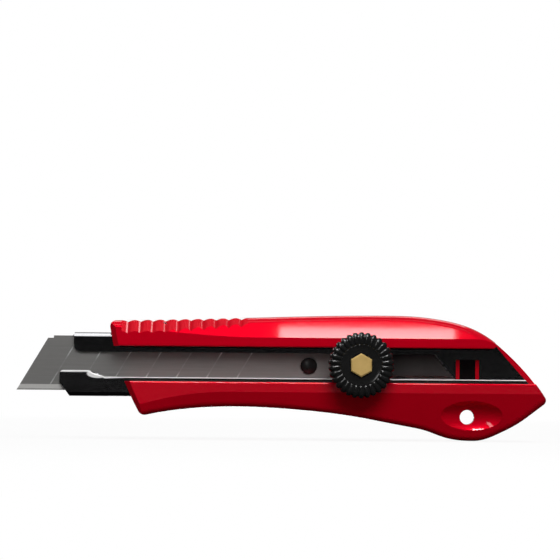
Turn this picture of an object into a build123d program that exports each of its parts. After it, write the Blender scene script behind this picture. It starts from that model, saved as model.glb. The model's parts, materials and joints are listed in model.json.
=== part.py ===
from build123d import *
from math import cos, radians, sin, tan
import os

# Heavy-duty cutter with an 18 mm snap-off blade, locked by a wheel.
# Frame: the origin is the centre of the lanyard hole, on the blade's mid plane.
# +X runs from the blade's tip to the tail, +Z away from the cutting edge, and the
# wheel faces -Y. The blade stands out as in use. Millimetres and degrees throughout.

# ---------------------------------------------------------------- driving sizes
# Blade: the standard 18 mm snap-off size
blade_height = 18.0
blade_length = 100.0
blade_thickness = 0.5
blade_slant = 59.0           # between the cutting edge and the front edge
segment_pitch = 10.0
score_count = 7
score_depth = 0.12
score_width = 0.35
bevel_height = 1.9
bevel_edge = 0.06            # thickness left at the cutting edge
tip_step = 1.4               # small step where the segment before was snapped off
tip_step_height = 0.8
blade_end_to_pin = 3.6       # from the lower rear corner forward to the pin
blade_low_z = 7.9
blade_low_gap = 1.1          # from the cutting edge to the fold below it
blade_high_gap = 0.3
blade_hole_clearance = 0.1

# Blade holder: a folded steel channel
sheet = 0.8
slide_clearance = 0.1        # between the slider's plates and the holder
holder_bend = 1.3            # outer radius of the folds
lip_low_z = 12.4             # edges of the two lips
lip_high_z = 20.7
nose_x = -136.9
nose_z = 14.0
nose_low_x = -131.2          # where the nose meets the lower fold
nose_high_x = -129.5         # where the nose meets the upper fold
nose_round = 1.3
lip_corner_round = 2.4
lip_bump_round = 1.2
lip_end_round = 1.2
lip_edge_break = 0.25
lip_scoop = (-121.6, 13.3)   # middle of the scoop in the lower lip's edge
lip_scoop_half = (3.6, 1.5)
lip_scoop_depth = 0.42
lip_scoop_out = (0, -0.85, 0.53)
lip_scoop_line = (1, 0.08, -0.13)
panel_rear_x = -118.5        # pressed panel of the nose
panel_margin = 2.6
panel_nose_z = 15.0          # ends of the panel's slanted front edge
panel_nose_x = -128.5
panel_rise = 0.4
panel_corner_round = 1.0
press_angle = 45.0           # slope of the pressed edges
slot_front_x = -130.8
slot_rear_x = -119.4
slot_mid_z = 10.9
slot_width = 1.1
slot_tilt = -4.0
tab_height = 2.6
tab_corner_round = 0.9
relief_x = -113.2            # small relief hole beside the housing
relief_z = 9.6
relief_radius = 0.8
upper_lip_x = -129.8
lower_lip_x = -134.5
lower_lip_raise_z = 14.5
lower_lip_raise_x = -124.8
lower_lip_foot_x = -119.6
holder_end_x = 20.2
holder_end_low_z = 11.3      # below this the end is square, above it slants
holder_end_slant = 41.9      # from the vertical
holder_shoulder = 2.0        # corner taken off at the top of the slanted end

# Slider
arm_thickness = 0.8
arm_height = 8.0
arm_front_reach = 3.5        # ahead of the pin
arm_rear_reach = 9.0         # behind the wheel's axis
arm_corner_round = 3.6
tail_thickness = 0.85
tail_low_z = 13.5
tail_high_z = 20.6
tail_end_x = -11.0           # the tail's upper rear corner
tail_slant = 38.3            # of the tail's rear edge, from the vertical
clamp_show = 0.6             # how far the clamp plate shows beyond the tail
slider_edge_clearance = 0.4  # plates to the inside of the folds
pin_x = -52.3
pin_z = 16.5
pin_radius = 2.7
pin_height = 1.3             # above the blade
pin_side_height = 0.4        # straight part below its dome
pin_shank_radius = 1.2
blade_seat_gap = 0.5         # between the blade's rear end and the clamp plate

# Lock
wheel_x = -35.1
wheel_z = 16.85
wheel_radius = 10.9
wheel_thickness = 6.6
wheel_edge_round = 1.6
wheel_back_chamfer = 0.5
ridge_count = 30
ridge_radius = 0.78
ridge_inner_radius = 6.8
dish_depth = 0.5
hub_radius = 5.0
stud_radius = 2.0            # M4
thread_clearance = 0.05
washer_thickness = 0.5
lock_clearance = 0.1         # between the washer and the lips when the lock is shut
wheel_clearance = 0.35       # between the wheel and the rails
hex_across_flats = 6.8
hex_proud = 0.45
hex_chamfer = 0.35
hex_turn = 30.0              # turns two of its corners to the top and the bottom
hex_depth = 7.5
stud_end_gap = 0.3           # left inside the insert, past the stud's end
stud_recess = 2.0            # of the stud's end below the insert's face
stud_chamfer = 0.4

# Housing
rail_face_y = -7.0           # front faces of both rails
rail_gap_low_z = 11.1
rail_gap_high_z = 22.6
rail_edge_round = 0.5
upper_rail_end_x = 9.2
upper_rail_end_round = 1.3
upper_crease_z = 25.75
upper_facet_angle = 52.5     # slope of the upper facet, from the Y axis
upper_crown_round = 5.0
lower_crease_z = 7.8
lower_facet_angle = 70.0     # slope of the lower facet, from the Y axis
lower_crown_round = 2.6
pocket_clearance = 0.1       # rails round the holder
liner_thickness = 0.8
liner_show = 0.45            # how far a liner stands into the slot
liner_front_x = -114.6
front_lean = 0.34            # X per Z along the housing's slanted front
front_round = 1.1            # rounding of the shell's front edge
back_round = 4.0             # rounding of the shell's long back edges
shell_ridge_y = 12.4
shell_section_radius = 60.0
shell_length_radius = 1100.0
crown_x = -57.0
crown_z = 17.0
crown_tilt = 5.0
cavity_floor_y = 6.0
cavity_wall = 2.5            # from the holder's edges
cavity_front_x = -106.0
cavity_rear_x = 7.0

# Grip
grip_floor_y = 8.2
grip_gap = 0.3
grip_ridge_y = 13.5
grip_section_radius = 30.0
grip_edge_round = 1.0
grip_rear_round = 3.0
grip_front_round = 2.6
grip_middle_x = -51.0
grip_middle_z = 15.4
grip_half_length = 58.5
grip_half_height = 14.5

# Badge
badge_x = -52.8
badge_z = 18.0
badge_length = 36.2
badge_height = 4.95
badge_rim = 0.55
badge_rim_y = 13.75
badge_plate_y = 13.45
badge_seat = 1.2             # depth of the badge in the grip
badge_rim_round = 0.22

# Serrations for the thumb, on the top edge
serration_count = 10
serration_pitch = 4.15
serration_x = -74.6
serration_radius = 4.2       # of the rounded ribs between the valleys
serration_depth = 0.6
serration_top_z = 32.1       # at the rearmost notch
serration_drop = 0.027       # of the row, per millimetre towards the tip
serration_reach = 14.0       # length of each valley's cutter
serration_fall = 28.0        # slope of each valley down the front

# Corners of the handle's side outline
tail_corner_round = 1.8
brow_corner_round = 2.0
chin_corner_round = 2.4

# Slanted break along the rails' front ends
front_break = 1.7            # width in the front view
front_break_angle = 45.0

# Side outline of the whole handle: corners, and points between them
tail_tip = (26.4, 5.2)
handle_top = (-28.3, 33.3)
brow = (-118.1, 31.0)
chin = (-107.5, -0.4)
heel = (1.8, -7.85)
tail_top_points = [(21.0, 12.9), (12.4, 21.8), (6.8, 26.3), (-0.6, 30.0), (-12.0, 32.5)]
back_point = (-73.0, 32.2)
front_point = (-114.9, 16.6)
belly_points = [(-96.5, 1.6), (-80.4, 2.85), (-57.0, 2.1), (-34.0, -0.6), (-22.0, -2.85), (-14.0, -4.45)]
tail_low_points = [(10.0, -5.6), (16.3, -2.3)]
# Directions in which its curves leave and reach those corners
tail_tip_up = (-0.5, 0.87)
tail_tip_back = (1, 0.72)
brow_way = (-1, -0.02)
chin_way = (1, 0.24)

# Side outline of the grip pad
grip_rear = (7.2, 12.4)
grip_brow = (-28.0, 29.95)
grip_front = (-109.6, 27.9)
grip_chin = (-98.5, 7.4)
grip_belly = (-14.9, 0.9)
grip_rear_points = [(2.3, 21.4), (-7.2, 26.7)]
grip_top_point = (-66.0, 29.3)
grip_front_points = [(-109.1, 20.1), (-107.0, 13.5)]
grip_low_points = [(-77.5, 7.15), (-57.0, 6.2), (-28.3, 2.3)]
grip_heel_point = (2.0, 6.0)
grip_rear_up = (-0.35, 0.94)
grip_brow_way = (-1, 0.03)
grip_heel_up = (0.6, 0.8)

# Creases between the rails' flat faces and their facets
upper_crease_x = -70.0       # the crease is level behind this
upper_crease_points = [(-86.0, 26.4), (-103.0, 27.8), (-125.0, 29.55)]
upper_crease_way = (-1, 0.08)
lower_crease_x = -76.0
lower_crease_points = [(-91.0, 7.0), (-108.7, 3.2), (-116.0, 1.1)]
lower_crease_way = (-1, -0.3)

# Lanyard hole and its dishes
lanyard_radius = 2.4
front_dish = (1.5, 0.55)
front_dish_half = (10.2, 5.15)
front_dish_depth = 2.4
back_dish = (5.6, 0.6)
back_dish_half = (10.6, 5.3)
back_dish_depth = 3.4
back_dish_line = (1, 0.14, 0.17)     # its long axis, rising towards the tail

# Fasteners
screw_radius = 1.0
screw_head_radius = 1.5
screw_head_height = 1.1
screw_length = 9.0
screw_socket = 0.7           # from the middle to a corner
screw_socket_depth = 0.65
screw_end_gap = 0.3          # left at the bottom of each screw's hole
locating_radius = 1.0
locating_length = 7.0
holder_screw_radius = 0.8
holder_screw_head_radius = 1.6
holder_screw_length = 4.5
countersink_angle = 45.0     # from the screw's axis
boss_radius = 2.4
screw_clearance = 0.05
upper_screw_xs = (-22.0, -50.0)
upper_screw_gap = 1.3        # from the holder's top to the screws' axes
lower_screw_xs = (-24.0, -9.0)
lower_screw_gap = 1.9        # from the holder's bottom to the screws' axes
locating_x = -100.0
locating_high_gap = 2.5      # from the holder's top to the pin's axis
locating_low_gap = 2.3       # from the holder's bottom to the pin's axis
holder_screw_xs = (-100.0, -20.0)

# Window at the rear of the blade holder, with the housing's two ribs in it
window_front_x = -3.7
window_rear_x = 3.9
window_mid_z = 15.4
window_height = 7.1
rib_thickness = 1.15
rib_gap = 0.15

# Cutting tools run this far past the faces they cut
overrun = 1.0
long_overrun = 10.0
facet_reach = 40.0
crown_share = 0.75           # half the width of a crown's cutter, over its section radius
# Edges longer than this run along the handle, and edges nearer than this to a plane lie in it
long_edge = 15.0
on_plane = 0.2

# ------------------------------------------------------------- worked-out sizes
handle_length = tail_tip[0] - brow[0]
blade_end_x = pin_x + blade_end_to_pin
blade_tip_x = blade_end_x - blade_length
blade_high_z = blade_low_z + blade_height
holder_low_z = blade_low_z - blade_low_gap - sheet
holder_high_z = blade_high_z + blade_high_gap + sheet
blade_front = -blade_thickness / 2
blade_back = blade_thickness / 2
arm_back = blade_back + arm_thickness
plate_front = arm_back + slide_clearance      # inner face of the holder's back
plate_back = plate_front + sheet              # the shell's front face
lip_back = blade_front - slide_clearance
lip_front = lip_back - sheet
liner_front = lip_front - liner_thickness
holder_mid_z = (holder_low_z + holder_high_z) / 2
holder_height = holder_high_z - holder_low_z
upper_screw_places = [(x, holder_high_z + upper_screw_gap) for x in upper_screw_xs]
lower_screw_places = [(x, holder_low_z - lower_screw_gap) for x in lower_screw_xs]
shell_screw_places = upper_screw_places + lower_screw_places
high_locating_place = (locating_x, holder_high_z + locating_high_gap)
low_locating_place = (locating_x, holder_low_z - locating_low_gap)
locating_places = [high_locating_place, low_locating_place]
holder_screw_places = [(x, holder_mid_z) for x in holder_screw_xs]
holder_depth = plate_back - lip_front
blade_lean = 1 / tan(radians(blade_slant))    # X per Z along the front edge
slider_low_z = holder_low_z + sheet + slider_edge_clearance
slider_high_z = holder_high_z - sheet - slider_edge_clearance
tail_lean = tan(radians(tail_slant))
end_lean = tan(radians(holder_end_slant))
washer_back = lip_front - lock_clearance
washer_front = washer_back - washer_thickness
wheel_back = rail_face_y - wheel_clearance
wheel_face = wheel_back - wheel_thickness
hex_face = wheel_face - hex_proud
stud_end = hex_face + stud_recess
stud_start = arm_back
ridge_centre_radius = wheel_radius - ridge_radius
badge_seat_y = badge_plate_y - badge_seat
screw_end = grip_floor_y - screw_head_height - screw_length
holder_screw_end = plate_back + holder_screw_length
facet_rise_out = (sin(radians(lower_facet_angle)), cos(radians(lower_facet_angle)))


def broad(y):
    """Sketch plane parallel to the broad faces; extruding goes towards the wheel side."""
    return Plane.XZ.offset(-y)


def along_x(x):
    """Sketch plane across the knife, with Y to the left and Z up."""
    return Plane(origin=(x, 0, 0), x_dir=(0, 1, 0), z_dir=(1, 0, 0))


def crown(ridge_y, section_radius):
    """Keep what lies under a shallow doubly curved crown that falls towards the ends."""
    tilt = radians(crown_tilt)
    section_plane = Plane(
        origin=(crown_x, 0, crown_z),
        x_dir=(0, 1, 0),
        z_dir=(cos(tilt), 0, -sin(tilt)),
    )
    half = crown_share * section_radius
    edge_y = ridge_y - section_radius + (section_radius**2 - half**2) ** 0.5
    floor_y = edge_y - overrun
    with BuildSketch(section_plane) as section:
        with BuildLine():
            ThreePointArc((edge_y, -half), (ridge_y, 0), (edge_y, half))
            Polyline((edge_y, half), (floor_y, half), (floor_y, -half), (edge_y, -half))
        make_face()
    centre = section_plane.from_local_coords((ridge_y - shell_length_radius, 0, 0))
    revolve(section.sketch, axis=Axis(centre, section_plane.y_dir), mode=Mode.INTERSECT)


def serrations():
    """Cut the valleys between the thumb ribs: level across the back, falling down the front."""
    half = serration_pitch / 2
    for i in range(serration_count):
        x = serration_x - i * serration_pitch
        z = serration_top_z - serration_drop * (serration_x - x)
        level = Plane(origin=(x, 0, z), x_dir=(1, 0, 0), z_dir=(0, 1, 0))
        falling = Plane(
            origin=(x, 0, z),
            x_dir=(1, 0, 0),
            z_dir=(0, -cos(radians(serration_fall)), -sin(radians(serration_fall))),
        )
        for plane, up in ((level, -1), (falling, 1)):
            with BuildSketch(plane) as valley:
                with BuildLine():
                    RadiusArc((-half, 0), (0, -up * serration_depth), up * serration_radius)
                    RadiusArc((0, -up * serration_depth), (half, 0), up * serration_radius)
                    Polyline((half, 0), (half, up * half), (-half, up * half), (-half, 0))
                make_face()
            extrude(valley.sketch, amount=serration_reach, mode=Mode.SUBTRACT)


def bore(x, z, radius, y_from, y_to):
    """Round hole along Y between two depths."""
    with BuildSketch(broad(y_to)) as round_hole:
        with Locations((x, z)):
            Circle(radius)
    extrude(round_hole.sketch, amount=y_to - y_from, mode=Mode.SUBTRACT)


def crown_y(x, z):
    """Depth of the shell's crown at a place on its side outline."""
    ridge_z = crown_z - (x - crown_x) * tan(radians(crown_tilt))
    fall = (x - crown_x) ** 2 / (2 * shell_length_radius) + (z - ridge_z) ** 2 / (2 * shell_section_radius)
    return shell_ridge_y - fall


def dish(centre, half, depth, surface_y, out, line):
    """Shallow oval dish cut by a spheroid that lies along a line over the surface."""
    cap_radius = (half[1] ** 2 + depth**2) / (2 * depth)
    long_radius = half[0] * cap_radius / half[1]
    middle = Vector(centre[0], surface_y, centre[1]) + Vector(out) * (cap_radius - depth)
    cut_plane = Plane(origin=middle, x_dir=line, z_dir=Vector(line).cross(Vector(out)))
    with BuildSketch(cut_plane) as half_oval:
        Ellipse(long_radius, cap_radius)
        Rectangle(2 * long_radius, cap_radius, align=(Align.CENTER, Align.MIN), mode=Mode.INTERSECT)
    revolve(half_oval.sketch, axis=Axis(middle, line), mode=Mode.SUBTRACT)


def long_inner_edges():
    """Edges that run along a rail, away from its front face and its parting plane."""
    return [
        edge
        for edge in edges()
        if edge.length > long_edge and rail_face_y + on_plane < edge.center().Y < plate_back - on_plane
    ]


def break_front_end():
    """Slanted break along a rail's front end."""
    top, middle, bottom = [(x + front_break, z) for x, z in (brow, front_point, chin)]
    with BuildSketch(broad(rail_face_y)) as ahead:
        with BuildLine():
            ThreePointArc(top, middle, bottom)
            Polyline(
                bottom,
                (bottom[0], bottom[1] - long_overrun),
                (top[0] - long_overrun, bottom[1] - long_overrun),
                (top[0] - long_overrun, top[1] + long_overrun),
                (top[0], top[1] + long_overrun),
                top,
            )
        make_face()
    slant = (-sin(radians(front_break_angle)), cos(radians(front_break_angle)), 0)
    extrude(ahead.sketch, amount=long_overrun, dir=slant, mode=Mode.SUBTRACT)


def holder_pocket():
    """Room for the blade holder and the liners inside the rails."""
    with BuildSketch(broad(plate_back)) as pocket:
        Polygon(*holder_outline(pocket_clearance), align=None)
    extrude(pocket.sketch, amount=plate_back - liner_front, mode=Mode.SUBTRACT)


def holder_outline(grow):
    """Side outline of the blade holder's channel, grown by a clearance."""
    low = holder_low_z - grow
    high = holder_high_z + grow
    end = holder_end_x + grow
    corner_z = holder_end_low_z + grow
    shoulder_z = holder_high_z - holder_shoulder
    shoulder_x = end - (shoulder_z - corner_z) * end_lean
    return [
        (nose_x - long_overrun, low), (end, low), (end, corner_z), (shoulder_x, shoulder_z),
        (shoulder_x - 2 * holder_shoulder, high), (nose_x - long_overrun, high),
    ]


# ------------------------------------------------------------------- outlines
with BuildSketch() as outline:
    with BuildLine():
        Spline(tail_tip, *tail_top_points, handle_top, tangents=(tail_tip_up, (-1, 0)))
        Spline(handle_top, back_point, brow, tangents=((-1, 0), brow_way))
        ThreePointArc(brow, front_point, chin)
        Spline(chin, *belly_points, heel, tangents=(chin_way, (1, 0)))
        Spline(heel, *tail_low_points, tail_tip, tangents=((1, 0), tail_tip_back))
    make_face()


def grip_outline(grow):
    """Side outline of the grip pad, grown evenly about its middle by a gap."""
    def grown(*points):
        wide = 1 + grow / grip_half_length
        high = 1 + grow / grip_half_height
        return [
            (grip_middle_x + (x - grip_middle_x) * wide, grip_middle_z + (z - grip_middle_z) * high)
            for x, z in points
        ]

    with BuildSketch() as profile:
        with BuildLine():
            Spline(*grown(grip_rear, *grip_rear_points, grip_brow), tangents=(grip_rear_up, grip_brow_way))
            ThreePointArc(*grown(grip_brow, grip_top_point, grip_front))
            Spline(*grown(grip_front, *grip_front_points, grip_chin), tangents=((0, -1), (1, 0)))
            Spline(*grown(grip_chin, *grip_low_points, grip_belly), tangents=((1, 0), (1, 0)))
            Spline(*grown(grip_belly, grip_heel_point, grip_rear), tangents=((1, 0), grip_heel_up))
        make_face()
        fillet(vertices().sort_by(Axis.X)[-1], radius=grip_rear_round)
        fillet(vertices().group_by(Axis.X)[0], radius=grip_front_round)
    return profile.sketch


# The same outline with its three corners rounded
with BuildSketch() as rounded_outline:
    add(outline.sketch_local)
    fillet(vertices().sort_by_distance(tail_tip)[0], radius=tail_corner_round)
    fillet(vertices().sort_by_distance(brow)[0], radius=brow_corner_round)
    fillet(vertices().sort_by_distance(chin)[0], radius=chin_corner_round)

# ----------------------------------------------------------------- housing
with BuildPart() as back_shell:
    with BuildSketch(broad(shell_ridge_y)):
        add(outline.sketch_local)
    extrude(amount=shell_ridge_y - plate_back)
    crown(shell_ridge_y, shell_section_radius)
    crown_face = faces().sort_by(Axis.Y)[-1]
    front_edge = crown_face.edges().sort_by(Axis.X)[0]
    fillet([edge for edge in crown_face.edges() if edge != front_edge], radius=back_round)
    front_face = faces().filter_by(GeomType.CYLINDER).sort_by(Axis.X)[0]
    front_curves = front_face.edges().filter_by(GeomType.LINE, reverse=True)
    fillet(front_curves.sort_by(Axis.Y)[1:], radius=front_round)
    with BuildSketch(broad(shell_ridge_y)):
        add(rounded_outline.sketch_local)
    extrude(amount=shell_ridge_y - plate_back, mode=Mode.INTERSECT)
    with BuildSketch(broad(grip_ridge_y)):
        add(grip_outline(grip_gap))
    extrude(amount=grip_ridge_y - grip_floor_y, mode=Mode.SUBTRACT)
    # Hollow behind the blade holder, with its screw bosses and the two locating ribs
    with BuildSketch(broad(cavity_floor_y)):
        with Locations((cavity_front_x, holder_mid_z)):
            Rectangle(
                cavity_rear_x - cavity_front_x,
                holder_height - 2 * cavity_wall,
                align=(Align.MIN, Align.CENTER),
            )
    extrude(amount=cavity_floor_y - plate_back, mode=Mode.SUBTRACT)
    with BuildSketch(broad(cavity_floor_y)):
        with Locations(*holder_screw_places):
            Circle(boss_radius)
    extrude(amount=cavity_floor_y - plate_back)
    with BuildSketch(broad(cavity_floor_y)):
        for rib_x in (window_front_x, window_rear_x - rib_thickness):
            with Locations((rib_x, window_mid_z)):
                Rectangle(rib_thickness, window_height - 2 * rib_gap, align=(Align.MIN, Align.CENTER))
    extrude(amount=cavity_floor_y - plate_front - rib_gap)
    for x, z in holder_screw_places:
        bore(x, z, holder_screw_radius + screw_clearance, plate_back, holder_screw_end + screw_end_gap)
    for x, z in shell_screw_places:
        bore(x, z, screw_radius + screw_clearance, plate_back, grip_floor_y)
        bore(x, z, screw_head_radius + screw_clearance, grip_floor_y - screw_head_height, grip_floor_y)
    for x, z in locating_places:
        bore(x, z, locating_radius, plate_back, plate_back + locating_length / 2)
    dish(back_dish, back_dish_half, back_dish_depth, crown_y(*back_dish), (0, 1, 0), back_dish_line)
    bore(0, 0, lanyard_radius, plate_back, shell_ridge_y)
    serrations()
back_shell.part.label = "back_shell"

with BuildPart() as upper_rail:
    with BuildSketch(broad(plate_back)):
        add(outline.sketch_local)
        with Locations((upper_rail_end_x, rail_gap_high_z)):
            Rectangle(handle_length, handle_length, align=(Align.MAX, Align.MIN), mode=Mode.INTERSECT)
    extrude(amount=plate_back - rail_face_y)
    slot_edge = edges().filter_by(Axis.X).group_by(Axis.Z)[0].sort_by(Axis.Y)[0]
    fillet(slot_edge, radius=rail_edge_round)
    with BuildSketch(broad(rail_face_y)) as above_crease:
        with BuildLine():
            level_end = (upper_crease_x, upper_crease_z)
            crease_end = upper_crease_points[-1]
            Spline(level_end, *upper_crease_points, tangents=((-1, 0), upper_crease_way))
            Polyline(
                crease_end,
                (crease_end[0], handle_length),
                (handle_length, handle_length),
                (handle_length, upper_crease_z),
                level_end,
            )
        make_face()
    facet_rise = (0, cos(radians(upper_facet_angle)), sin(radians(upper_facet_angle)))
    extrude(above_crease.sketch, amount=facet_reach, dir=facet_rise, mode=Mode.SUBTRACT)
    top_edges = [edge for edge in long_inner_edges() if edge.center().Z > handle_top[1] - upper_crown_round]
    fillet(top_edges, radius=upper_crown_round)
    with BuildSketch(broad(plate_back)):
        add(rounded_outline.sketch_local)
        with Locations((upper_rail_end_x, rail_gap_high_z)):
            Rectangle(handle_length, handle_length, align=(Align.MAX, Align.MIN), mode=Mode.INTERSECT)
        fillet(vertices().group_by(Axis.X)[-1], radius=upper_rail_end_round)
    extrude(amount=plate_back - rail_face_y, mode=Mode.INTERSECT)
    break_front_end()
    holder_pocket()
    for x, z in shell_screw_places:
        bore(x, z, screw_radius + screw_clearance, screw_end - screw_end_gap, plate_back)
    for x, z in locating_places:
        bore(x, z, locating_radius, plate_back - locating_length / 2, plate_back)
    serrations()
upper_rail.part.label = "upper_rail"

with BuildPart() as lower_rail:
    with BuildSketch(broad(plate_back)):
        add(outline.sketch_local)
        with Locations((0, rail_gap_low_z)):
            Rectangle(2 * handle_length, handle_length, align=(Align.CENTER, Align.MAX), mode=Mode.INTERSECT)
    extrude(amount=plate_back - rail_face_y)
    slot_edge = edges().filter_by(Axis.X).group_by(Axis.Z)[-1].sort_by(Axis.Y)[0]
    fillet(slot_edge, radius=rail_edge_round)
    with BuildSketch(broad(rail_face_y)) as below_crease:
        with BuildLine():
            level_end = (lower_crease_x, lower_crease_z)
            crease_end = lower_crease_points[-1]
            Spline(level_end, *lower_crease_points, tangents=((-1, 0), lower_crease_way))
            Polyline(
                crease_end,
                (crease_end[0], -handle_length),
                (handle_length, -handle_length),
                (handle_length, lower_crease_z),
                level_end,
            )
        make_face()
    facet_fall = (0, cos(radians(lower_facet_angle)), -sin(radians(lower_facet_angle)))
    extrude(below_crease.sketch, amount=facet_reach, dir=facet_fall, mode=Mode.SUBTRACT)
    bottom_edges = [edge for edge in long_inner_edges() if edge.center().Z < holder_low_z]
    fillet(bottom_edges, radius=lower_crown_round)
    with BuildSketch(broad(plate_back)):
        add(outline.sketch_local)
        add(rounded_outline.sketch_local, mode=Mode.SUBTRACT)
    extrude(amount=plate_back - rail_face_y, mode=Mode.SUBTRACT)
    break_front_end()
    holder_pocket()
    for x, z in shell_screw_places:
        bore(x, z, screw_radius + screw_clearance, screw_end - screw_end_gap, plate_back)
    for x, z in locating_places:
        bore(x, z, locating_radius, plate_back - locating_length / 2, plate_back)
    facet_y = rail_face_y + (lower_crease_z - front_dish[1]) / tan(radians(lower_facet_angle))
    facet_out = (0, -facet_rise_out[0], -facet_rise_out[1])
    dish(front_dish, front_dish_half, front_dish_depth, facet_y, facet_out, (1, 0, 0))
    bore(0, 0, lanyard_radius, rail_face_y, plate_back)
lower_rail.part.label = "lower_rail"

with BuildPart() as upper_liner:
    low_z = rail_gap_high_z - liner_show
    high_z = holder_high_z - holder_bend
    with BuildSketch(broad(lip_front)):
        Polygon(
            (liner_front_x, low_z),
            (upper_rail_end_x - 1, low_z),
            (upper_rail_end_x - 1 - (high_z - low_z) * end_lean, high_z),
            (liner_front_x - (high_z - low_z) * front_lean, high_z),
            align=None,
        )
    extrude(amount=liner_thickness)
upper_liner.part.label = "upper_liner"

with BuildPart() as lower_liner:
    low_z = holder_low_z + holder_bend
    high_z = rail_gap_low_z + liner_show
    drop = rail_gap_high_z - liner_show - high_z
    with BuildSketch(broad(lip_front)):
        Polygon(
            (liner_front_x + (drop + high_z - low_z) * front_lean, low_z),
            (holder_end_x, low_z),
            (holder_end_x, high_z),
            (liner_front_x + drop * front_lean, high_z),
            align=None,
        )
    extrude(amount=liner_thickness)
lower_liner.part.label = "lower_liner"

with BuildPart() as blade_holder:
    channel_middle = ((lip_front + plate_back) / 2, holder_mid_z)
    with BuildSketch(along_x(nose_x)):
        with Locations(channel_middle):
            RectangleRounded(holder_depth, holder_height, holder_bend)
            RectangleRounded(
                holder_depth - 2 * sheet, holder_height - 2 * sheet, holder_bend - sheet, mode=Mode.SUBTRACT
            )
    extrude(amount=holder_end_x - nose_x)
    # The opening between the lips, wide at the front where the upper lip stops
    with BuildSketch(broad(lip_back)):
        Polygon(
            (nose_x - overrun, lower_lip_raise_z),
            (lower_lip_raise_x, lower_lip_raise_z),
            (lower_lip_foot_x, lip_low_z),
            (holder_end_x + overrun, lip_low_z),
            (holder_end_x + overrun, lip_high_z),
            (upper_lip_x, lip_high_z),
            (upper_lip_x, holder_high_z + overrun),
            (nose_x - overrun, holder_high_z + overrun),
            align=None,
        )
        lip_corner = vertices().sort_by_distance((upper_lip_x, lip_high_z))[0]
        fillet(lip_corner, radius=lip_corner_round)
        bump_corners = vertices().filter_by_position(Axis.X, lower_lip_raise_x, lower_lip_foot_x)
        fillet(bump_corners, radius=lip_bump_round)
    extrude(amount=2 * sheet, mode=Mode.SUBTRACT)
    with BuildSketch(broad(lip_back)):
        with Locations((lower_lip_x, holder_mid_z)):
            Rectangle(long_overrun, 2 * holder_height, align=(Align.MAX, Align.CENTER))
    extrude(amount=2 * sheet, mode=Mode.SUBTRACT)
    # The lower lip's corner is rounded and its edge broken, with a scoop at the bend
    lip_end = edges().filter_by(Axis.Y).sort_by_distance((lower_lip_x, lip_front, lower_lip_raise_z))[0]
    fillet(lip_end, radius=lip_end_round)
    lip_edges = [
        edge
        for edge in faces().sort_by(Axis.Y)[0].edges()
        if lip_low_z - on_plane < edge.center().Z < lower_lip_raise_z + on_plane
    ]
    chamfer(lip_edges, length=lip_edge_break)
    dish(lip_scoop, lip_scoop_half, lip_scoop_depth, lip_front, lip_scoop_out, lip_scoop_line)
    # Pointed nose in front, slanted end behind
    with BuildSketch(broad(plate_back)):
        Polygon(*holder_outline(0), align=None)
        Polygon(
            (nose_x, nose_z),
            (nose_low_x, holder_low_z),
            (holder_end_x + overrun, holder_low_z),
            (holder_end_x + overrun, holder_high_z),
            (nose_high_x, holder_high_z),
            align=None,
            mode=Mode.INTERSECT,
        )
        fillet(vertices().sort_by(Axis.X)[0], radius=nose_round)
    extrude(amount=holder_depth, mode=Mode.INTERSECT)
    # Pressed nose panel, the slot of the anti-rattle tab and the tab
    panel_low_z = slot_mid_z + slot_width
    with BuildSketch(broad(plate_back)):
        Polygon(
            (panel_rear_x, panel_low_z),
            (nose_x + panel_margin, panel_low_z),
            (nose_x + panel_margin, panel_nose_z),
            (panel_nose_x, holder_high_z - panel_margin),
            (panel_rear_x, holder_high_z - panel_margin),
            align=None,
        )
        fillet(vertices(), radius=panel_corner_round)
        with Locations(((slot_front_x + slot_rear_x) / 2, holder_low_z + holder_bend + tab_height / 2)):
            RectangleRounded(slot_rear_x - slot_front_x, tab_height, tab_corner_round)
    extrude(amount=-panel_rise, taper=press_angle)
    with BuildSketch(broad(plate_back + panel_rise)):
        with Locations(((slot_front_x + slot_rear_x) / 2, slot_mid_z)):
            SlotOverall(slot_rear_x - slot_front_x, slot_width, rotation=slot_tilt)
        with Locations((relief_x, relief_z)):
            Circle(relief_radius)
    extrude(amount=sheet + panel_rise, mode=Mode.SUBTRACT)
    with BuildSketch(broad(plate_back)):
        with Locations(((window_front_x + window_rear_x) / 2, window_mid_z)):
            Rectangle(window_rear_x - window_front_x + 2 * rib_gap, window_height)
    extrude(amount=sheet, mode=Mode.SUBTRACT)
    for x, z in holder_screw_places:
        with Locations(Plane(origin=(x, plate_front, z), z_dir=(0, -1, 0))):
            CounterSinkHole(
                holder_screw_radius + screw_clearance,
                holder_screw_head_radius + screw_clearance,
                depth=sheet,
                counter_sink_angle=2 * countersink_angle,
            )
blade_holder.part.label = "blade_holder"

with BuildPart() as grip_pad:
    with BuildSketch(broad(grip_ridge_y)):
        add(grip_outline(0))
    extrude(amount=grip_ridge_y - grip_floor_y)
    crown(grip_ridge_y, grip_section_radius)
    fillet(faces().sort_by(Axis.Y)[-1].edges(), radius=grip_edge_round)
    with BuildSketch(broad(grip_ridge_y)):
        with Locations((badge_x, badge_z)):
            SlotOverall(badge_length + 2 * badge_rim, badge_height + 2 * badge_rim)
    extrude(amount=grip_ridge_y - badge_seat_y, mode=Mode.SUBTRACT)
grip_pad.part.label = "grip_pad"

with BuildPart() as badge_rim_ring:
    with BuildSketch(broad(badge_rim_y)):
        with Locations((badge_x, badge_z)):
            SlotOverall(badge_length + 2 * badge_rim, badge_height + 2 * badge_rim)
            SlotOverall(badge_length, badge_height, mode=Mode.SUBTRACT)
    extrude(amount=badge_rim_y - badge_seat_y)
    fillet(faces().sort_by(Axis.Y)[-1].edges(), radius=badge_rim_round)
badge_rim_ring.part.label = "badge_rim"

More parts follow.
